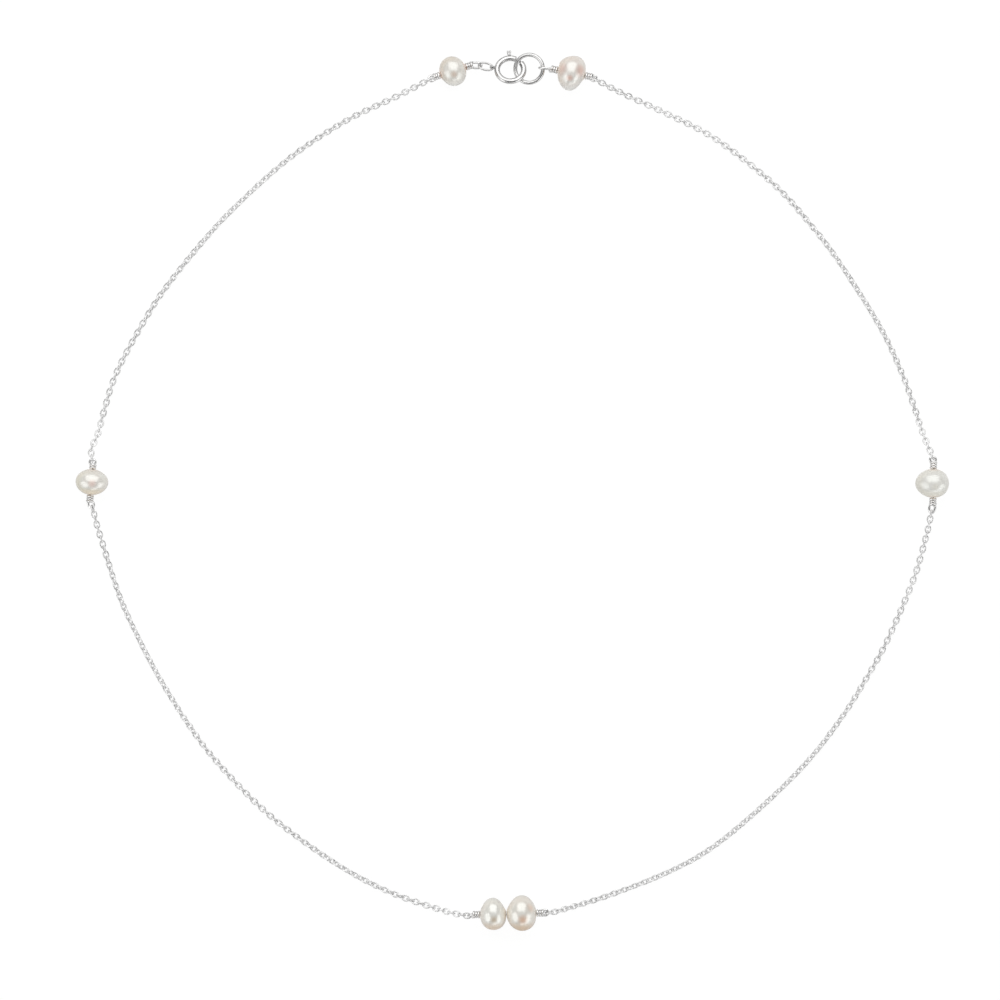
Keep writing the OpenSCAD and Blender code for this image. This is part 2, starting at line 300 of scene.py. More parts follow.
# Where a pearl's colours and the light painted into them change: heights as shares of its width, rims as
# shares of its half sizes seen from above, and the drill holes' surroundings as shares of its length
FLANK_SHADE_TOP = (0.3, 0.42)
FRONT_LOW = (-0.35, 0.0)
BACK_RIM = (0.5, 0.85)
RIGHT_RIM = (0.05, 0.6)
FRONT_RIM = (-0.95, -0.45)
HOLE_RIM = (0.43, 0.5)

# How much of a colour or of its painted light is left or added there, and the share of a spot's reach that
# has its full strength
FLANK_SHADE_AT_RIGHT = 0.15
FRONT_LOW_SHARE = 0.45
HOLE_SHARE = 0.8
CLOUD_TINT = 0.3
SPOT_CORE = 0.2

# Scales are in noise waves to the millimetre, heights and depths in millimetres
CLOUD_SCALE = 0.4
CLOUD_RANGE = (0.35, 0.75)
NOISE_MIDDLE = (0.3, 0.7)
PEARL_ROUGH = (0.28, 0.34)
PEARL_ROUGH_SCALE = 1.4
RIPPLE_SCALE = 0.8
RIPPLE_STRENGTH = 0.25
RIPPLE_HEIGHT = 0.07

# The silver's dull patches, as a share of its colour, its uneven gloss and its scratches
TARNISH = 0.93
TARNISH_SCALE = 0.7
TARNISH_RANGE = (0.35, 0.7)
ROUGH_SHARES = (0.8, 1.3)
ROUGH_SCALE = 3.0
SCRATCH_STRETCH = (1, 0.25, 1)
SCRATCH_STRENGTH = 0.1
SCRATCH_DEPTH = 0.01


class Shader:
    """A new node material and short ways to add nodes to it."""

    def __init__(self, name):
        self.material = bpy.data.materials.new(name)
        self.material.use_nodes = True
        self.tree = self.material.node_tree
        self.principled = self.tree.nodes["Principled BSDF"]

    def node(self, kind, **values):
        made = self.tree.nodes.new(kind)
        for key, value in values.items():
            setattr(made, key, value)
        return made

    def link(self, source, target):
        self.tree.links.new(source, target)

    def set(self, **values):
        for key, value in values.items():
            self.principled.inputs[key.replace("_", " ")].default_value = value

    def millimetres(self, centre=(0, 0, 0), scale=(1, 1, 1)):
        """The place on the piece in millimetres from a centre."""
        where = self.node("ShaderNodeTexCoord")
        mapping = self.node("ShaderNodeMapping", vector_type="POINT")
        mapping.inputs["Location"].default_value = [-c * s for c, s in zip(centre, scale)]
        mapping.inputs["Scale"].default_value = [s / MM for s in scale]
        self.link(where.outputs["Object"], mapping.inputs["Vector"])
        return mapping.outputs["Vector"]

    def noise(self, vector, scale, detail=3.0, roughness=0.5):
        made = self.node("ShaderNodeTexNoise")
        made.inputs["Scale"].default_value = scale
        made.inputs["Detail"].default_value = detail
        made.inputs["Roughness"].default_value = roughness
        self.link(vector, made.inputs["Vector"])
        return made.outputs["Fac"]

    def spread(self, value, low, high, to_low, to_high):
        made = self.node("ShaderNodeMapRange")
        ends = {"From Min": low, "From Max": high, "To Min": to_low, "To Max": to_high}
        for key, number in ends.items():
            made.inputs[key].default_value = number
        self.link(value, made.inputs["Value"])
        return made.outputs["Result"]

    def blend(self, amount, first, second):
        """A colour between two, each a colour or another node's output."""
        made = self.node("ShaderNodeMix", data_type="RGBA")
        self.link(amount, made.inputs["Factor"])
        for key, colour in (("A", first), ("B", second)):
            socket = next(s for s in made.inputs if s.name == key and s.type == "RGBA")
            if isinstance(colour, tuple):
                socket.default_value = (*colour, 1)
            else:
                self.link(colour, socket)
        return next(s for s in made.outputs if s.type == "RGBA")

    def maths(self, operation, first, second):
        made = self.node("ShaderNodeMath", operation=operation)
        self.link(first, made.inputs[0])
        self.link(second, made.inputs[1])
        return made.outputs["Value"]

    def larger(self, first, second):
        return self.maths("MAXIMUM", first, second)

    def times(self, first, second):
        return self.maths("MULTIPLY", first, second)

    def bump(self, height, strength, distance_mm):
        made = self.node("ShaderNodeBump")
        made.inputs["Strength"].default_value = strength
        made.inputs["Distance"].default_value = distance_mm * MM
        self.link(height, made.inputs["Height"])
        return made.outputs["Normal"]


def nacre(name, pearl):
    """Pearl: a pale body under a clear lustre, warmer low on its sides, on its -Y side and round its drill
    holes.

    The colour low on the sides is partly the pearl's warmer tone and partly painted shade on the rims seen
    from above. It fades towards the back and the right, which leaves painted lighter rims there. The
    colour on the -Y side is partly a warm tone and partly painted light: painted shade on the pair of
    pearls at -Y and a painted pale reflection on the pair at +Y. Round the drill holes the colour is
    warmer, and on the pair at -Y it is lighter, a painted glow where they touch and shade each other. Each
    blushed area is given by the way to it from the middle, as shares of the pearl's half sizes seen from
    above, its reach in millimetres and its strength. The one just to -Y of each pearl's middle is also a
    painted darker reflection of the dark gap between the left and right lights.
    """
    s = Shader(name)

    def between(value, shares, size, to_low, to_high):
        return s.spread(value, shares[0] * size, shares[1] * size, to_low, to_high)

    length, width = pearl["size"]
    heading = pearl["at"][3]
    place = s.millimetres(pearl["at"][:3])
    half = np.array([length, width]) / 2
    if abs(math.cos(math.radians(heading))) < 0.5:
        half = half[::-1]
    split = s.node("ShaderNodeSeparateXYZ")
    s.link(place, split.inputs["Vector"])
    # Painted shade, partly the pearl's warmer tone: the flank colour darkens the lower sides, which are
    # the rims seen from above. It fades at the back and right rims, which are left lighter
    low = between(split.outputs["Z"], FLANK_SHADE_TOP, width, 1.0, 0.0)
    shade_fading_at_back = between(split.outputs["Y"], BACK_RIM, half[1], 1.0, pearl["back"])
    shade_fading_at_right = between(split.outputs["X"], RIGHT_RIM, half[0], 1.0, FLANK_SHADE_AT_RIGHT)
    colour = s.blend(s.times(s.times(low, shade_fading_at_back), shade_fading_at_right), pearl["body"], pearl["flank_tint_and_shade"])
    clouds_and_reflection_spots = s.spread(s.noise(place, CLOUD_SCALE, detail=2.0), *CLOUD_RANGE, 0.0, CLOUD_TINT)
    # Blushed spots over random clouds of blush. The spot just to -Y of each pearl's middle is also a
    # painted darker reflection of the dark gap between the left and right lights
    for across, up, reach, strength in pearl["blush_and_reflection_spots"]:
        rise = math.sqrt(1 - across ** 2 - up ** 2) * width / 2
        apart = s.node("ShaderNodeVectorMath", operation="DISTANCE")
        s.link(place, apart.inputs[0])
        apart.inputs[1].default_value = (across * half[0], up * half[1], rise)
        blush_and_reflection_spot = s.spread(apart.outputs["Value"], SPOT_CORE * reach, reach, strength, 0.0)
        clouds_and_reflection_spots = s.larger(clouds_and_reflection_spots, blush_and_reflection_spot)
    colour = s.blend(clouds_and_reflection_spots, colour, pearl["blush_and_reflection"])
    # Front colour: a warm tone and painted light. It is painted shade on the two front pearls and a
    # painted pale reflection on the two back ones
    front = between(split.outputs["Y"], FRONT_RIM, half[1], 1.0, 0.0)
    above = between(split.outputs["Z"], FRONT_LOW, width, FRONT_LOW_SHARE, 1.0)
    colour = s.blend(s.times(front, above), colour, pearl["front"])
    # Drill holes' colour: a warmer tone, lightened on the two front pearls as a painted glow where they
    # touch and shade each other
    turned = s.node("ShaderNodeVectorRotate", rotation_type="Z_AXIS")
    turned.inputs["Angle"].default_value = -math.radians(heading)
    s.link(place, turned.inputs["Vector"])
    along = s.node("ShaderNodeSeparateXYZ")
    s.link(turned.outputs["Vector"], along.inputs["Vector"])
    far = s.node("ShaderNodeMath", operation="ABSOLUTE")
    s.link(along.outputs["X"], far.inputs[0])
    holes = between(far.outputs["Value"], HOLE_RIM, length, 0.0, HOLE_SHARE)
    colour = s.blend(holes, colour, pearl["hole_tint_and_glow"])
    s.link(colour, s.principled.inputs["Base Color"])
    gloss = s.spread(s.noise(place, PEARL_ROUGH_SCALE), *NOISE_MIDDLE, *PEARL_ROUGH)
    s.link(gloss, s.principled.inputs["Roughness"])
    ripple = s.bump(s.noise(place, RIPPLE_SCALE, detail=1.0), RIPPLE_STRENGTH, RIPPLE_HEIGHT)
    s.link(ripple, s.principled.inputs["Normal"])
    s.set(Metallic=0.08, IOR=1.9, Specular_Tint=(0.9, 1.0, 0.96, 1.0))
    s.set(Coat_Weight=pearl["lustre"], Coat_Roughness=pearl["gloss"], Coat_IOR=2.0)
    s.set(Sheen_Weight=0.8, Sheen_Roughness=0.4, Sheen_Tint=(1.0, 0.96, 0.9, 1.0))
    return s.material


def silver(name, colour, rough, scratch_scale):
    """Polished silver with fine scratches and slightly uneven gloss."""
    s = Shader(name)
    place = s.millimetres()
    tarnish = s.spread(s.noise(place, TARNISH_SCALE, detail=2.0), *TARNISH_RANGE, 0.0, 1.0)
    dark = tuple(c * TARNISH for c in colour)
    s.link(s.blend(tarnish, colour, dark), s.principled.inputs["Base Color"])
    ends = [rough * share for share in ROUGH_SHARES]
    gloss = s.spread(s.noise(place, ROUGH_SCALE), *NOISE_MIDDLE, *ends)
    s.link(gloss, s.principled.inputs["Roughness"])
    fine = s.noise(s.millimetres(scale=SCRATCH_STRETCH), scratch_scale, detail=5.0, roughness=0.65)
    s.link(s.bump(fine, SCRATCH_STRENGTH, SCRATCH_DEPTH), s.principled.inputs["Normal"])
    s.set(Metallic=1.0)
    return s.material


SILVER = (0.87, 0.865, 0.86)
LINK_SILVER = (0.88, 0.878, 0.876)
# The clasp's silver is a darker copy of the same silver, painted shade that greys its reflections
CLASP_SILVER_SHADED = (0.71, 0.705, 0.7)
wire_silver = silver("silver_wire", SILVER, 0.24, 14.0)
link_silver = silver("silver_links", LINK_SILVER, 0.42, 18.0)
clasp_silver_shaded = silver("silver_clasp", CLASP_SILVER_SHADED, 0.28, 9.0)


# Pearls

PEARL_ROWS = 72
PEARL_SIDES = 112
BORE_ROWS = 10
BORE_INSET = 0.04
OFF_ROUND = 0.01
SWELL_SCALE = 1.3
FACE_CLOSE = 0.035
TRUE_NEAR_HOLE = 0.35
BULGE_POWER = 4


def pearl_part(size, at, bulges, seed):
    """A drilled pearl, a little off-round except at its drill holes.

    bulges are angles seen from above, in degrees from +X, and heights in millimetres.
    """
    length, width = size
    rim = math.asin(BORE_D / width)
    angles = np.linspace(rim, math.pi - rim, PEARL_ROWS)
    around = np.linspace(0, 2 * math.pi, PEARL_SIDES, endpoint=False)
    a, b = np.meshgrid(angles, around, indexing="ij")
    way = np.stack([np.cos(a), np.sin(a) * np.cos(b), np.sin(a) * np.sin(b)], -1)
    away = eased(np.clip((np.sin(a) - math.sin(rim)) / TRUE_NEAR_HOLE, 0, 1))
    shift = Vector((seed, 0, 0))
    swell = np.array([noise.noise(Vector(w) * SWELL_SCALE + shift) for w in way.reshape(-1, 3)])
    skin = way * np.array([length / 2 + FACE_CLOSE, width / 2, width / 2])
    skin[..., 1:] *= (1 + OFF_ROUND * away * swell.reshape(a.shape))[..., None]
    end = (length / 2 + FACE_CLOSE) * math.cos(rim)
    x = np.linspace(-end + BORE_INSET, end - BORE_INSET, BORE_ROWS)
    bore = np.stack(np.broadcast_arrays(
        x[:, None], BORE_D / 2 * np.cos(around)[None], BORE_D / 2 * np.sin(around)[None]), -1)
    skin = put(skin.reshape(-1, 3), at)
    out = unit(skin - np.array(at[:3]))
    for angle, height in bulges:
        side = np.array([math.cos(math.radians(angle)), math.sin(math.radians(angle)), 0])
        share = np.clip(out @ side, 0, 1) ** BULGE_POWER * away.ravel()
        skin += height * share[:, None] * side
    vertices = np.vstack([skin, put(bore.reshape(-1, 3), at)])
    return vertices, grid_faces(PEARL_ROWS + BORE_ROWS, PEARL_SIDES, True)


FRONT_RIGHT_AT = (*put([(FRONT_STEP, 0, 0)], FRONT_AT)[0], FRONT_AT[3], FRONT_AT[4])

# gloss is the lustre's roughness, and back the share of the flank colour, tint and painted shade, that is
# left at the back rim. The front colour is painted shade on the two front pearls and a painted pale
# reflection on the two back ones. The hole colour of the two front pearls is lightened to a painted glow
# where they touch. The spot just to -Y of each pearl's middle is a painted darker reflection of the dark
# gap between the left and right lights
PEARLS = {
    "pearl_front_left": dict(
        size=FRONT_LEFT_SIZE, at=FRONT_AT, slot="pearl_cream", seed=3.1,
        bulges=((45, -0.18), (90, 0.08), (135, -0.07), (225, 0.05), (270, -0.08), (315, 0.08)),
        gloss=0.22, lustre=1.0, back=0.1, body=(0.98, 0.975, 0.92), flank_tint_and_shade=(0.9, 0.84, 0.76),
        front=(0.87, 0.62, 0.4), hole_tint_and_glow=(1.0, 0.87, 0.72), blush_and_reflection=(0.75, 0.64, 0.5),
        blush_and_reflection_spots=((0.06, -0.31, 0.9, 1.0),),
    ),
    "pearl_front_right": dict(
        size=FRONT_RIGHT_SIZE, at=FRONT_RIGHT_AT, slot="pearl_cream", seed=8.4,
        bulges=((90, 0.09), (135, -0.13), (225, -0.03), (270, -0.1), (315, 0.13)),
        gloss=0.23, lustre=0.95, back=0.1, body=(0.94, 0.935, 0.87), flank_tint_and_shade=(0.9, 0.82, 0.72),
        front=(0.78, 0.48, 0.22), hole_tint_and_glow=(1.0, 0.86, 0.7), blush_and_reflection=(0.9, 0.63, 0.47),
        blush_and_reflection_spots=((0.1, -0.33, 1.1, 1.0), (0.66, 0.35, 1.2, 0.65)),
    ),
    "pearl_left": dict(
        size=LEFT_SIZE, at=LEFT_AT, slot="pearl_rosy", seed=12.7, bulges=((0, 0.15),),
        gloss=0.26, lustre=0.85, back=0.6, body=(0.9, 0.89, 0.83), flank_tint_and_shade=(0.79, 0.745, 0.61),
        front=(1.0, 0.84, 0.6), hole_tint_and_glow=PEACH, blush_and_reflection=(0.98, 0.78, 0.7), blush_and_reflection_spots=((0.08, -0.12, 0.95, 0.9),),
    ),
    "pearl_right": dict(
        size=RIGHT_SIZE, at=RIGHT_AT, slot="pearl_grey", seed=17.2, bulges=((180, 0.18), (0, -0.16)),
        gloss=0.38, lustre=0.55, back=0.6, body=(0.9, 0.89, 0.85), flank_tint_and_shade=(0.84, 0.81, 0.73),
        front=(1.0, 0.96, 0.84), hole_tint_and_glow=PEACH, blush_and_reflection=(0.94, 0.9, 0.78), blush_and_reflection_spots=((0.1, -0.25, 0.9, 0.5),),
    ),
    "pearl_back_left": dict(
        size=BACK_LEFT_SIZE, at=BACK_LEFT_AT, slot="pearl_rosy", seed=21.9,
        bulges=((90, 0.03), (135, 0.05), (225, -0.06), (270, 0.04), (315, 0.06)),
        gloss=0.31, lustre=0.75, back=0.9, body=(0.9, 0.885, 0.83), flank_tint_and_shade=(0.76, 0.68, 0.57),
        front=(0.96, 0.94, 0.89), hole_tint_and_glow=(0.9, 0.5, 0.3), blush_and_reflection=(0.81, 0.68, 0.58),
        blush_and_reflection_spots=((0.1, -0.27, 0.8, 1.0), (-0.85, -0.1, 0.9, 1.0)),
    ),
    "pearl_back_right": dict(
        size=BACK_RIGHT_SIZE, at=BACK_RIGHT_AT, slot="pearl_rosy", seed=26.3,
        bulges=((45, 0.18), (90, -0.12), (135, 0.2), (270, 0.08), (315, -0.22)),
        gloss=0.27, lustre=0.75, back=0.6, body=(0.9, 0.89, 0.84), flank_tint_and_shade=(0.86, 0.765, 0.665),
        front=(0.97, 0.95, 0.92), hole_tint_and_glow=PEACH, blush_and_reflection=(0.82, 0.55, 0.46),
        blush_and_reflection_spots=((-0.7, 0.2, 1.4, 0.75), (0.7, 0.1, 1.5, 0.9), (-0.15, -0.33, 0.75, 0.9)),
    ),
}
for name, values in PEARLS.items():
    part = pearl_part(values["size"], values["at"], values["bulges"], values["seed"])
    make_piece(name + "_nacre", part, nacre(name, values), "necklace", name)


# Wrapped wires

WIRE_SIDES = 18
WIRE_STEP = 0.035
CURVE_STEPS = 12
OVAL_POWER = 2.25
OVAL_STEPS = 240
EYE_STEP = 0.07
EYE_OPEN = 0.14
EYE_CLOSE = 0.28

# How far before the eye the stem's last two points lie
STEM_ENDS = (0.35, 0.12)

# The turns' pitch, radius and unevenness, and the wire's way down to them from the eye
WIND_PITCH = 0.372
WIND_R = 0.4
WIND_STEPS = 24
WIND_SNUG = 0.015
WIND_WAVER = 0.02
WAVER_RATE = 0.4
WAVER_SHIFT = 3
WIND_SLANT = 0.05
WIND_APPROACH = 2.2
DOWN_STEPS = 8
DOWN_HASTE = 1.6
STEP_SHARE = 0.4


def smooth_line(points, step):
    """A smooth curve through the points, with its own points a step apart."""
    line = curve_through(points, np.linspace(0, 1, CURVE_STEPS, endpoint=False))
    run = run_along(line)
    even = np.linspace(0, run[-1], round(run[-1] / step))
    return np.stack([np.interp(even, run, line[:, k]) for k in range(3)], 1)


def oval_points(length, width, wire, step):
    """The middle line of an oval ring of wire from its near end, anticlockwise, in even steps."""
    a = np.linspace(math.pi, 3 * math.pi, OVAL_STEPS + 1)
    c, d = np.cos(a), np.sin(a)
    x = (length - wire) / 2 * np.sign(c) * np.abs(c) ** (2 / OVAL_POWER)
    y = (width - wire) / 2 * np.sign(d) * np.abs(d) ** (2 / OVAL_POWER)
    run = np.concatenate([[0], np.cumsum(np.hypot(np.diff(x), np.diff(y)))])
    even = np.linspace(0, run[-1], round(run[-1] / step), endpoint=False)
    return np.stack([np.interp(even, run, x), np.interp(even, run, y), 0 * even], 1)


def wound(spin, sense, high, start):
    """Places on the turns: each lies flat against the last and steps over on the hidden side."""
    gone = np.abs(spin - start) / (2 * math.pi)
    step = np.clip((gone % 1 - 1 + STEP_SHARE) / STEP_SHARE, 0, 1)
    x = high - WIND_PITCH * (np.floor(gone) + eased(step))
    x += WIND_SLANT * np.sin(spin * sense + high)
    radius = WIND_R + WIND_WAVER * np.sin(WAVER_RATE * spin + WAVER_SHIFT * high)
    return np.stack([x, radius * np.cos(spin), radius * np.sin(spin)], 1)


def end_points(pearl_l, end):
    """A wire's way from the pearl to its eye, round it and back in turns, along +X."""
    turns, eye_l, eye_w, roll, yaw = end
    wraps_from = pearl_l / 2 + WRAP_GAP
    eye_from = wraps_from + turns * TURN_PITCH - EYE_LAP
    half = (eye_l - WIRE_D) / 2
    near = oval_points(eye_l, eye_w, WIRE_D, EYE_STEP) + np.array([half, 0, 0])
    leaving = near[:, 1] < 0
    keep = np.where(leaving, near[:, 0] > EYE_OPEN, near[:, 0] > EYE_CLOSE)
    loop = near[keep] @ (turn("Z", yaw) @ turn("X", roll)).T + np.array([eye_from, 0, 0])
    high = wraps_from + WIRE_THICK / 2 + WIND_SLANT - WIND_SNUG + (turns - 1) * WIND_PITCH
    back = math.atan2(loop[-1][2], loop[-1][1])
    ways = []
    for sense in (-1, 1):
        start = -math.pi / 2 + sense * math.pi * STEP_SHARE
        approach = (start - back) * sense % (2 * math.pi)
        ways.append((abs(approach - WIND_APPROACH), sense, start, approach))
    _, sense, start, approach = min(ways)
    t = np.linspace(0, 1, DOWN_STEPS)[1:-1]
    spin = start - sense * approach * (1 - t)
    from_loop = np.hypot(loop[-1][1], loop[-1][2])
    reach = from_loop + (WIND_R - from_loop) * np.minimum(1, DOWN_HASTE * t)
    first = wound(np.array([start]), sense, high, start)[0]
    x = loop[-1][0] + (first[0] - loop[-1][0]) * t
    down = np.stack([x, reach * np.cos(spin), reach * np.sin(spin)], 1)
    rounds = turns - STEP_SHARE
    spin = start + sense * 2 * math.pi * np.linspace(0, rounds, round(rounds * WIND_STEPS))
    stem = [(x, 0, 0) for x in (0, wraps_from, *(eye_from - short for short in STEM_ENDS))]
    return np.vstack([stem, loop, down, wound(spin, sense, high, start)])


def wire_part(at, near_l, near_end, far_l, far_end, step):
    """A whole wrapped wire: the turns and eye of its near end, the stem and those of its far end."""
    near = end_points(near_l, near_end) @ turn("Z", 180).T
    far = end_points(far_l, far_end) + np.array([step, 0, 0])
    line = smooth_line(np.vstack([near[::-1], far[1:]]), WIRE_STEP)
    return tube(put(line, at), WIRE_THICK / 2, WIRE_SIDES)


# Name, place, the near pearl's size and end, the far pearl's size and end, and the way between the two
WIRES = (
    ("wire_front", FRONT_AT,
     FRONT_LEFT_SIZE, FRONT_LEFT_END, FRONT_RIGHT_SIZE, FRONT_RIGHT_END, FRONT_STEP),
    ("wire_left", LEFT_AT,
     LEFT_SIZE, LEFT_TOP_END, LEFT_SIZE, LEFT_BOTTOM_END, 0),
    ("wire_right", RIGHT_AT,
     RIGHT_SIZE, RIGHT_TOP_END, RIGHT_SIZE, RIGHT_BOTTOM_END, 0),
    ("wire_back_left", BACK_LEFT_AT,
     BACK_LEFT_SIZE, BACK_LEFT_CHAIN_END, BACK_LEFT_SIZE, BACK_LEFT_CLASP_END, 0),
    ("wire_back_right", BACK_RIGHT_AT,
     BACK_RIGHT_SIZE, BACK_RIGHT_CLASP_END, BACK_RIGHT_SIZE, BACK_RIGHT_CHAIN_END, 0),
)
for name, at, near_size, near_end, far_size, far_end, step in WIRES:
    make_piece(name + "_wound", wire_part(at, near_size[0], near_end, far_size[0], far_end, step),
               wire_silver, "necklace", name)


# Chains

LINK_SIDES = 12
LINK_STEP = 0.085
SOLDER_SWELL = 0.16
SOLDER_REACH = 0.12


def eye_tip(at, pearl_l, end, side, step=0):
    """Where an eye's outer tip lies. side is 1 at the end that the wire's X axis points to."""
    start = step + pearl_l / 2 + WRAP_GAP + end[0] * TURN_PITCH - EYE_LAP
    reach = turn("Z", end[4]) @ np.array([end[1] - WIRE_D / 2, 0, 0])
    return put([side * (np.array([start, 0, 0]) + reach)], at)[0]


def chain_line(start, route, end):
    """A chain's line from one eye's tip to another's, coming down to the surface between them."""
    plan = curve_through(np.vstack([start[:2], route, end[:2]]), np.arange(ROUTE_STEPS) / ROUTE_STEPS)
    run = run_along(plan)

    def ease(s):
        return np.where(s >= DROP_L, 0, (1 + np.cos(math.pi * s / DROP_L)) / 2)

    z = CHAIN_Z + (start[2] - CHAIN_Z) * ease(run) + (end[2] - CHAIN_Z) * ease(run[-1] - run)
    return np.column_stack([plan, z])


def link_part():
    """One link, longer along X, a little thicker where it is soldered."""
    line = oval_points(LINK_L, LINK_W, LINK_WIRE, LINK_STEP)
    solder = np.exp(-((line[:, 0] / SOLDER_REACH) ** 2)) * (line[:, 1] > 0)
    return tube(line, LINK_THICK / 2 * (1 + SOLDER_SWELL * solder), LINK_SIDES, closed=True)


def uneven(i):
    """A number from -1 to 1 that changes unevenly from link to link."""
    return math.sin(2.4 * i + 0.7 * math.sin(1.3 * i))


def chain_part(line, rolls):
    """A stretch of interlocked links along a line, each rolled a little unevenly except near the ends."""
    run = run_along(line)
    span = run[-1] - 2 * FIRST_LINK
    count = round(span / LINK_PITCH)
    pitch = span / count

    def along(s):
        return np.array([np.interp(s, run, line[:, k]) for k in range(3)])

    shares, angles = zip(*rolls)
    base, faces = link_part()
    links = []
    for i in range(count + 1):
        middle = FIRST_LINK + i * pitch
        to = unit(along(middle + pitch / 2) - along(middle - pitch / 2))
        inner = min(i, count - i, STEADY_LINKS) / STEADY_LINKS
        wobble = ROLL_WOBBLE * inner * uneven(i)
        roll = np.interp(i / count, shares, angles) + 90 * (i % 2) + wobble
        heading, climb = math.degrees(math.atan2(to[1], to[0])), math.degrees(math.asin(to[2]))
        aim = turn("Z", heading) @ turn("Y", -climb)
        links.append((base @ (aim @ turn("X", roll)).T + along(middle), faces))
    return joined(links)


# Name, the eye where it starts, its route, the eye where it ends, and its links' rolls
CHAINS = (
    ("chain_upper_left",
     eye_tip(BACK_LEFT_AT, BACK_LEFT_SIZE[0], BACK_LEFT_CHAIN_END, -1), ROUTE_UPPER_LEFT,
     eye_tip(LEFT_AT, LEFT_SIZE[0], LEFT_TOP_END, -1), ROLLS_UPPER_LEFT),
    ("chain_upper_right",
     eye_tip(BACK_RIGHT_AT, BACK_RIGHT_SIZE[0], BACK_RIGHT_CHAIN_END, 1), ROUTE_UPPER_RIGHT,
     eye_tip(RIGHT_AT, RIGHT_SIZE[0], RIGHT_TOP_END, -1), ROLLS_UPPER_RIGHT),
    ("chain_lower_left",
     eye_tip(LEFT_AT, LEFT_SIZE[0], LEFT_BOTTOM_END, 1), ROUTE_LOWER_LEFT,
     eye_tip(FRONT_AT, FRONT_LEFT_SIZE[0], FRONT_LEFT_END, -1), ROLLS_LOWER_LEFT),
    ("chain_lower_right",
     eye_tip(RIGHT_AT, RIGHT_SIZE[0], RIGHT_BOTTOM_END, 1), ROUTE_LOWER_RIGHT,
     eye_tip(FRONT_AT, FRONT_RIGHT_SIZE[0], FRONT_RIGHT_END, 1, FRONT_STEP), ROLLS_LOWER_RIGHT),
)
for name, start, route, end, rolls in CHAINS:
    make_piece(name + "_links", chain_part(chain_line(start, route, end), rolls), link_silver,
               "necklace", name)


# Clasp

CONNECTOR_STEP = 0.06
JUMP_STEPS = 200
JUMP_SIDES = 32
BOLT_STEPS = 90
ROUND_SIDES = 24

# The tube: points round it and round its slot, and steps along it, along the slot and before the slot
RING_SIDES = 40
SLOT_SIDES = 10
RING_STEPS = 180
SLOT_STEPS = 40
SHORT_STEPS = 20
ANGLE_SLACK = 1e-6

# The tab's loop
TAB_STEPS = 60
TAB_SIDES = 20

# The tab's solder: how it sinks into the tube and stands on it, its width, thickness and top, and how
# quickly the two fall to the top
FOOT_SUNK = 0.1
FOOT_HIGH = 0.03
FOOT_WIDE = 0.7
FOOT_THICK = 0.2
FOOT_TOP = 0.13
FOOT_WIDE_FALL = 1.2
FOOT_THICK_FALL = 1.5
FOOT_STEPS = 16
FOOT_SIDES = 28

# The knob's two lobes, from its foot on the tube, and the stem and the collar under them
LOBE_START = 0.06
LOBE_SHORT = 0.16
LOBE_APART = 0.12
LOBE_SPREAD = 0.075
LOBE_SPREAD_POWER = 1.5
LOBE_R = 0.135
LOBE_SWELL = 0.03
LOBE_SWELL_POWER = 1.3
LOBE_STEPS = 20
STEM_REACH = 0.15
COLLAR_START = 0.05
COLLAR_END = 0.09
COLLAR_R = 0.21
ROD_STEPS = 8


def arc_points(radius, start, end, steps):
    """Points on an arc in the XY plane, angles in degrees."""
    a = np.radians(np.linspace(start, end, steps))
    return np.stack([radius * np.cos(a), radius * np.sin(a), np.zeros_like(a)], 1)


def connector_part():
    line = oval_points(*CONNECTOR_SIZE, CONNECTOR_WIRE, CONNECTOR_STEP) @ turn("X", CONNECTOR_ROLL).T
    return tube(put(line, CONNECTOR_AT), CONNECTOR_WIRE / 2, ROUND_SIDES, closed=True)


def jump_part():
    line = arc_points(JUMP_R, 0, 360, JUMP_STEPS + 1)[:-1] @ turn("Y", JUMP_TILT).T + np.array(JUMP_AT)
    return tube(line, JUMP_WIRE / 2, JUMP_SIDES, closed=True)


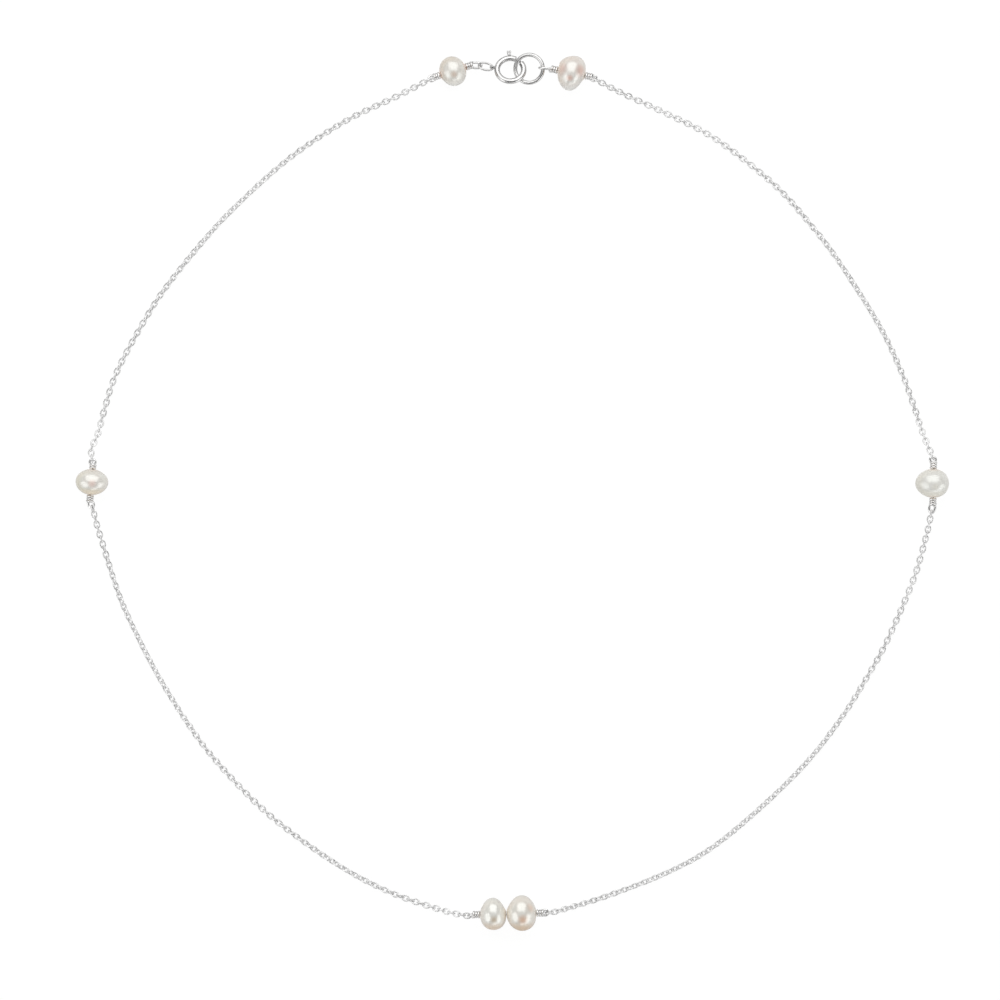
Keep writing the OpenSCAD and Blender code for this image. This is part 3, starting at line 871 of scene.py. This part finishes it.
def hollow_tube_part():
    """The C-shaped tube: its outside, its bore, the slot for the knob and the rings of its two mouths."""
    slot_start, slot_end = KNOB_ANGLE - SLOT_SPARE, KNOB_ANGLE + BOLT_TRAVEL + SLOT_SPARE
    thetas = np.concatenate([
        np.linspace(GAP_END, slot_start, SHORT_STEPS, endpoint=False),
        np.linspace(slot_start, slot_end, SLOT_STEPS, endpoint=False),
        np.linspace(slot_end, 360 + GAP_START, RING_STEPS),
    ])
    in_slot = (thetas[:-1] >= slot_start - ANGLE_SLACK) & (thetas[1:] <= slot_end + ANGLE_SLACK)
    layers = []
    for radius in (TUBE_SKIN / 2, TUBE_BORE / 2):
        half = math.asin(SLOT_W / 2 / radius)
        phis = np.concatenate([
            np.linspace(-half, half, SLOT_SIDES, endpoint=False),
            np.linspace(half, 2 * math.pi - half, RING_SIDES - SLOT_SIDES, endpoint=False),
        ])
        t, p = np.meshgrid(np.radians(thetas), phis, indexing="ij")
        far = RING_R + radius * np.cos(p)
        layers.append(np.stack([far * np.cos(t), far * np.sin(t), radius * np.sin(p)], -1).reshape(-1, 3))
    rows, total = len(thetas), len(thetas) * RING_SIDES

    def at(layer, i, j):
        return layer * total + i * RING_SIDES + j % RING_SIDES

    faces = []
    for i in range(rows - 1):
        for j in range(RING_SIDES):
            if in_slot[i] and j < SLOT_SIDES:
                continue
            faces.append((at(0, i, j), at(0, i + 1, j), at(0, i + 1, j + 1), at(0, i, j + 1)))
            faces.append((at(1, i, j + 1), at(1, i + 1, j + 1), at(1, i + 1, j), at(1, i, j)))
        if in_slot[i]:
            for j, order in ((SLOT_SIDES, -1), (0, 1)):
                faces.append((at(0, i, j), at(1, i, j), at(1, i + 1, j), at(0, i + 1, j))[::order])
    slot_rows = np.flatnonzero(in_slot)
    for j in range(SLOT_SIDES):
        i = slot_rows[0]
        faces.append((at(0, i, j), at(1, i, j), at(1, i, j + 1), at(0, i, j + 1))[::-1])
        i = slot_rows[-1] + 1
        faces.append((at(0, i, j), at(1, i, j), at(1, i, j + 1), at(0, i, j + 1)))
    last = rows - 1
    for j in range(RING_SIDES):
        faces.append((at(0, 0, j), at(0, 0, j + 1), at(1, 0, j + 1), at(1, 0, j)))
        faces.append((at(0, last, j), at(0, last, j + 1), at(1, last, j + 1), at(1, last, j))[::-1])
    used = sorted({i for face in faces for i in face})
    number = {old: new for new, old in enumerate(used)}
    return np.vstack(layers)[used], [tuple(number[i] for i in face) for face in faces]


def tab_part():
    """The small loop that stands on the tube, with the solder at its foot."""
    loop = arc_points((TAB_D - TAB_WIRE) / 2, 0, 360, TAB_STEPS + 1)[:-1] @ turn("X", 90).T
    loop = (loop + np.array([TAB_R, 0, 0])) @ turn("Z", TAB_ANGLE).T
    ring = tube(loop, TAB_WIRE / 2, TAB_SIDES, closed=True)
    x = RING_R + TUBE_SKIN / 2 + np.linspace(-FOOT_SUNK, FOOT_HIGH, FOOT_STEPS)
    left = np.linspace(1, 0, FOOT_STEPS)
    wide = FOOT_TOP + (FOOT_WIDE - FOOT_TOP) * left ** FOOT_WIDE_FALL
    thick = FOOT_TOP + (FOOT_THICK - FOOT_TOP) * left ** FOOT_THICK_FALL
    vertices, faces = tube(np.stack([x, 0 * x, 0 * x], 1), thick, FOOT_SIDES)
    vertices[:, 1] *= np.interp(vertices[:, 0], x, wide / thick)
    return joined([ring, (vertices @ turn("Z", TAB_ANGLE).T, faces)])


def knob_part():
    """The knob: two rounded lobes that spread outwards from a stem with a collar."""
    foot = RING_R + TUBE_D / 2 + KNOB_CLEAR
    t = np.linspace(0, 1, LOBE_STEPS)
    parts = []
    for side in (-1, 1):
        away = side * (LOBE_APART + LOBE_SPREAD * t ** LOBE_SPREAD_POWER)
        line = np.stack([foot + LOBE_START + (KNOB_TALL - LOBE_SHORT) * t, away, 0 * t], 1)
        radius = LOBE_R + LOBE_SWELL * np.sin(math.pi * t ** LOBE_SWELL_POWER)
        parts.append(tube(line, radius, ROUND_SIDES))
    rods = (
        (RING_R, foot + STEM_REACH, STEM_D / 2),
        (foot + COLLAR_START, foot + COLLAR_END, COLLAR_R),
    )
    for start, end, radius in rods:
        parts.append(tube(np.linspace((start, 0, 0), (end, 0, 0), ROD_STEPS), radius, ROUND_SIDES))
    vertices, faces = joined(parts)
    return vertices @ turn("Z", KNOB_ANGLE).T, faces


def bolt_part():
    rod = tube(arc_points(RING_R, BOLT_TIP, BOLT_TAIL, BOLT_STEPS), BOLT_D / 2, ROUND_SIDES)
    vertices, faces = joined([rod, knob_part()])
    return in_ring(vertices), faces


def spring_ring_part():
    vertices, faces = joined([hollow_tube_part(), tab_part()])
    return in_ring(vertices), faces


EDGE_BEVEL = 0.025
EDGE_ANGLE = 50
EDGE_SEGMENTS = 3


def soften_edges(piece):
    """Small rounds at the mouths and at the slot's edges."""
    bevel = piece.modifiers.new("edges", "BEVEL")
    bevel.width = EDGE_BEVEL * MM
    bevel.segments = EDGE_SEGMENTS
    bevel.limit_method = "ANGLE"
    bevel.angle_limit = math.radians(EDGE_ANGLE)


# Piece, its part, its body and the node that it replaces
CLASP = (
    ("connector_ring_wire", connector_part(), "necklace", "connector_ring"),
    ("jump_ring_wire", jump_part(), "necklace", "jump_ring"),
    ("spring_ring_tube", spring_ring_part(), "necklace", "spring_ring"),
    ("bolt_and_knob", bolt_part(), "bolt", "spring_bolt"),
)
for name, part, body, node in CLASP:
    piece = make_piece(name, part, clasp_silver_shaded, body, node)
    if node == "spring_ring":
        soften_edges(piece)


# Surface, light and camera

PIXEL = 0.157
VIEW_SIZE = 1000 * PIXEL
VIEW_CENTRE = (-1.884, -1.57, 2.0)
CAMERA_HEIGHT = 1500.0
CAMERA_CLIP = (10.0, 10000.0)
SENSOR = 36.0
FLOOR_SIZE = 4000.0
FLOOR_DROP = 0.02
SHADOW_SHARE = 0.12
GLOW = 1.06
AMBIENT = 0.15
PAPER_SEEN = 0.85
PAPER_LIT = 0.78

# Name, direction from the loop's middle, distance, width and height in millimetres, radiance
LIGHTS = (
    ("back_light", (0.04, 0.69, 0.72), 620, 1000, 800, 1.6),
    ("left_light", (-0.78, -0.4, 0.48), 700, 660, 600, 1.6),
    ("right_light", (0.85, -0.46, 0.235), 700, 560, 540, 1.7),
    ("front_card", (0.26, -0.93, 0.24), 700, 640, 220, 1.5),
)


def seen_or_lit(nodes, links, seen, lit):
    """A shader that is one thing to the camera and another to the light."""
    path = nodes.new("ShaderNodeLightPath")
    mix = nodes.new("ShaderNodeMixShader")
    links.new(path.outputs["Is Camera Ray"], mix.inputs["Fac"])
    links.new(lit, mix.inputs[1])
    links.new(seen, mix.inputs[2])
    return mix.outputs["Shader"]


def make_floor():
    half = FLOOR_SIZE / 2 * MM
    z = -FLOOR_DROP * MM
    corners = [(-half, -half, z), (half, -half, z), (half, half, z), (-half, half, z)]
    mesh = bpy.data.meshes.new("floor")
    mesh.from_pydata(corners, [], [(0, 1, 2, 3)])
    material = bpy.data.materials.new("white_paper")
    material.use_nodes = True
    nodes, links = material.node_tree.nodes, material.node_tree.links
    nodes.clear()
    out = nodes.new("ShaderNodeOutputMaterial")
    papers = []
    for shade in (PAPER_SEEN, PAPER_LIT):
        paper = nodes.new("ShaderNodeBsdfDiffuse")
        paper.inputs["Color"].default_value = (shade, shade, shade, 1)
        papers.append(paper.outputs["BSDF"])
    glow = nodes.new("ShaderNodeEmission")
    glow.inputs["Strength"].default_value = GLOW
    faint = nodes.new("ShaderNodeMixShader")
    faint.inputs["Fac"].default_value = SHADOW_SHARE
    links.new(glow.outputs["Emission"], faint.inputs[1])
    links.new(papers[0], faint.inputs[2])
    shader = seen_or_lit(nodes, links, faint.outputs["Shader"], papers[1])
    links.new(shader, out.inputs["Surface"])
    mesh.materials.append(material)
    floor = bpy.data.objects.new("floor", mesh)
    bpy.context.scene.collection.objects.link(floor)


def make_world():
    world = bpy.data.worlds.new("studio")
    bpy.context.scene.world = world
    world.use_nodes = True
    nodes, links = world.node_tree.nodes, world.node_tree.links
    nodes.clear()
    out = nodes.new("ShaderNodeOutputWorld")
    shades = []
    for strength in (1.0, AMBIENT):
        shade = nodes.new("ShaderNodeBackground")
        shade.inputs["Strength"].default_value = strength
        shade.inputs["Color"].default_value = (1, 1, 1, 1)
        shades.append(shade.outputs["Background"])
    links.new(seen_or_lit(nodes, links, *shades), out.inputs["Surface"])


def softbox(name, toward, distance_mm, width_mm, height_mm, radiance):
    """A rectangular light that faces the middle of the loop from a direction."""
    light = bpy.data.lights.new(name, "AREA")
    light.shape = "RECTANGLE"
    light.size = width_mm * MM
    light.size_y = height_mm * MM
    light.energy = radiance * math.pi * light.size * light.size_y
    made = bpy.data.objects.new(name, light)
    way = Vector(toward).normalized()
    made.location = way * distance_mm * MM
    made.rotation_euler = way.to_track_quat("Z", "Y").to_euler()
    made.visible_camera = False
    bpy.context.scene.collection.objects.link(made)


def make_camera():
    data = bpy.data.cameras.new("camera")
    data.sensor_width = SENSOR
    data.lens = SENSOR * (CAMERA_HEIGHT - VIEW_CENTRE[2]) / VIEW_SIZE
    data.clip_start, data.clip_end = [reach * MM for reach in CAMERA_CLIP]
    camera = bpy.data.objects.new("camera", data)
    camera.location = (VIEW_CENTRE[0] * MM, VIEW_CENTRE[1] * MM, CAMERA_HEIGHT * MM)
    bpy.context.scene.collection.objects.link(camera)
    bpy.context.scene.camera = camera


make_floor()
make_world()
for light in LIGHTS:
    softbox(*light)
make_camera()
bpy.context.scene.view_settings.view_transform = "Standard"
